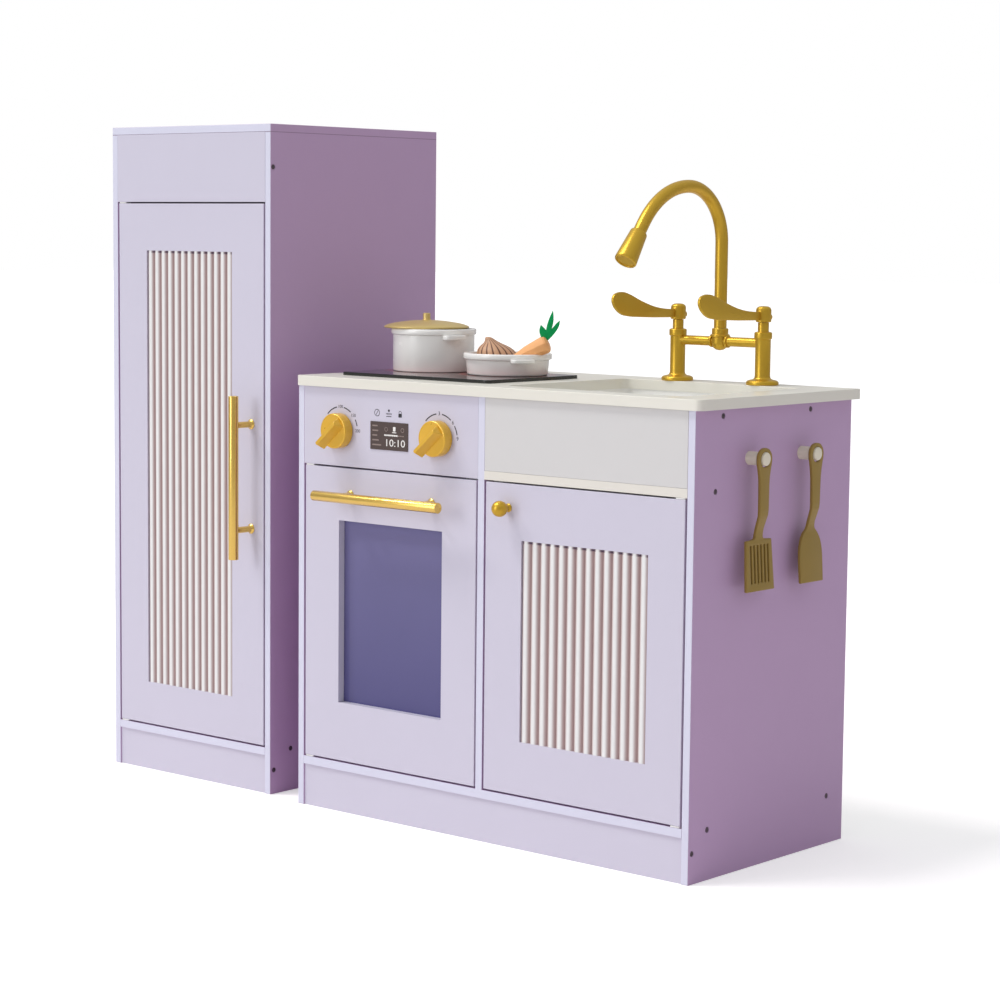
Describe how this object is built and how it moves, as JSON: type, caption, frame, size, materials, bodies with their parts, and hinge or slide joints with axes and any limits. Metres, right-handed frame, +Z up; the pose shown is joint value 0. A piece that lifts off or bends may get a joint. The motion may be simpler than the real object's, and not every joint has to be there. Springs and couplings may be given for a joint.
{
  "type": "toy kitchen",
  "caption": "Toy play kitchen: tall fridge cabinet beside a low unit with hob, oven, sink, bridge tap, hinged doors, control knobs, hanging utensils and toy cookware.",
  "frame": {"origin": "centre of the overall bounding box on the floor", "axes": "+X to the right along the fronts, +Y from the fronts to the backs, +Z up"},
  "size_m": [0.967, 0.3458, 0.828],
  "materials": {
    "lilac_paint": "satin lilac paint on board",
    "white_paint": "satin white paint on board",
    "white_hardboard": "thin painted hardboard",
    "counter_paint": "satin off-white worktop",
    "basin_plastic": "moulded white tub",
    "hob_gloss": "glossy black with faint ring prints",
    "display_print": "glossy dark screen with pale clock digits",
    "window_acrylic": "tinted translucent sheet",
    "fluted_plastic": "reeded, pale crests and taupe grooves",
    "gold_metal": "satin gold coating",
    "gold_plastic": "satin gold coating on moulded plastic",
    "steel": "bright zinc",
    "magnet_case": "white catch body",
    "peg_wood": "cream painted dowel",
    "utensil_paint": "satin gold paint",
    "cookware_white": "glossy white",
    "lid_gold": "satin gold paint",
    "onion_paint": "peach paint with brown lines",
    "carrot_paint": "orange paint, flat facets",
    "leaf_felt": "green felt"
  },
  "bodies": {
    "kitchen_unit": {"kitchen_left_side": "lilac_paint", "kitchen_right_side": "lilac_paint", "kitchen_divider": "lilac_paint", "kitchen_bottom_shelf": "lilac_paint", "kitchen_plinth": "lilac_paint", "kitchen_back_panel": "white_hardboard", "kitchen_rail_board": "white_paint", "oven_ceiling": "lilac_paint", "sink_apron": "white_paint", "control_panel": "lilac_paint", "display_panel": "display_print", "countertop": "counter_paint", "counter_cleats": "white_paint", "hob_plate": "hob_gloss", "sink_basin": "basin_plastic", "kitchen_screws": "steel", "utensil_pegs": "peg_wood", "door_magnets": "magnet_case", "tap_posts": "gold_plastic", "tap_bridge": "gold_plastic", "tap_nuts": "gold_plastic"},
    "fridge_unit": {"fridge_left_side": "lilac_paint", "fridge_right_side": "lilac_paint", "fridge_top": "lilac_paint", "fridge_header": "lilac_paint", "fridge_bottom_shelf": "lilac_paint", "fridge_plinth": "lilac_paint", "fridge_back_panel": "white_hardboard", "fridge_shelves": "white_paint", "fridge_screws": "steel", "fridge_magnet": "magnet_case"},
    "oven_door_leaf": {"oven_door": "lilac_paint", "oven_window": "window_acrylic", "oven_window_screws": "steel", "oven_handle": "gold_metal", "oven_door_pivots": "steel"},
    "cupboard_door_leaf": {"cupboard_door": "lilac_paint", "cupboard_fluted_panel": "fluted_plastic", "cupboard_knob": "gold_metal", "cupboard_door_pivots": "steel"},
    "fridge_door_leaf": {"fridge_door": "lilac_paint", "fridge_fluted_panel": "fluted_plastic", "fridge_handle": "gold_metal", "fridge_door_pivots": "steel"},
    "left_control_knob": {"knob_left_dial": "gold_plastic"},
    "right_control_knob": {"knob_right_dial": "gold_plastic"},
    "spout": {"tap_spout": "gold_plastic", "tap_spray_head": "gold_plastic"},
    "left_lever": {"tap_lever_left": "gold_plastic"},
    "right_lever": {"tap_lever_right": "gold_plastic"},
    "pot_body": {"pot": "cookware_white"},
    "lid_body": {"pot_lid": "lid_gold"},
    "dish_body": {"dish": "cookware_white"},
    "onion_body": {"onion": "onion_paint"},
    "carrot_body": {"carrot": "carrot_paint", "carrot_leaves": "leaf_felt"},
    "turner_body": {"turner": "utensil_paint"},
    "spatula_body": {"spatula": "utensil_paint"}
  },
  "joints": [
    {"name": "fridge_place", "type": "slide", "parent": "kitchen_unit", "child": "fridge_unit", "axis": [1, 0, 0], "range_m": [-0.15, 0.045]},
    {"name": "fridge_door_hinge", "type": "hinge", "parent": "fridge_unit", "child": "fridge_door_leaf", "pos_m": [-0.4645, -0.12237, 0.396], "axis": [0, 0, 1], "range_deg": [-110, 0]},
    {"name": "oven_door_hinge", "type": "hinge", "parent": "kitchen_unit", "child": "oven_door_leaf", "pos_m": [-0.1155, -0.13187, 0.24], "axis": [0, 0, 1], "range_deg": [-105, 0]},
    {"name": "cupboard_door_hinge", "type": "hinge", "parent": "kitchen_unit", "child": "cupboard_door_leaf", "pos_m": [0.4405, -0.13187, 0.24], "axis": [0, 0, 1], "range_deg": [0, 110]},
    {"name": "left_knob_turn", "type": "hinge", "parent": "kitchen_unit", "child": "left_control_knob", "pos_m": [-0.0645, -0.13662, 0.4627], "axis": [0, 1, 0], "continuous": true},
    {"name": "right_knob_turn", "type": "hinge", "parent": "kitchen_unit", "child": "right_control_knob", "pos_m": [0.0938, -0.13662, 0.4627], "axis": [0, 1, 0], "continuous": true},
    {"name": "spout_swivel", "type": "hinge", "parent": "kitchen_unit", "child": "spout", "pos_m": [0.2935, 0.13437, 0.6], "axis": [0, 0, 1], "range_deg": [-60, 60]},
    {"name": "left_lever_turn", "type": "hinge", "parent": "kitchen_unit", "child": "left_lever", "pos_m": [0.2319, 0.13437, 0.6047], "axis": [0, 0, 1], "range_deg": [-90, 0]},
    {"name": "right_lever_turn", "type": "hinge", "parent": "kitchen_unit", "child": "right_lever", "pos_m": [0.3551, 0.13437, 0.6047], "axis": [0, 0, 1], "range_deg": [0, 90]},
    {"name": "pot_lift", "type": "slide", "parent": "kitchen_unit", "child": "pot_body", "axis": [0, 0, 1], "range_m": [0, 0.1]},
    {"name": "lid_lift", "type": "slide", "parent": "pot_body", "child": "lid_body", "axis": [0, 0, 1], "range_m": [0, 0.08]},
    {"name": "dish_lift", "type": "slide", "parent": "kitchen_unit", "child": "dish_body", "axis": [0, 0, 1], "range_m": [0, 0.1]},
    {"name": "onion_lift", "type": "slide", "parent": "dish_body", "child": "onion_body", "axis": [0, 0, 1], "range_m": [0, 0.08]},
    {"name": "carrot_lift", "type": "slide", "parent": "dish_body", "child": "carrot_body", "axis": [0, 0, 1], "range_m": [0, 0.08]},
    {"name": "turner_swing", "type": "hinge", "parent": "kitchen_unit", "child": "turner_body", "pos_m": [0.4655, -0.03733, 0.458], "axis": [1, 0, 0], "range_deg": [-8, 8]},
    {"name": "spatula_swing", "type": "hinge", "parent": "kitchen_unit", "child": "spatula_body", "pos_m": [0.4655, 0.06278, 0.458], "axis": [1, 0, 0], "range_deg": [-8, 8]}
  ]
}
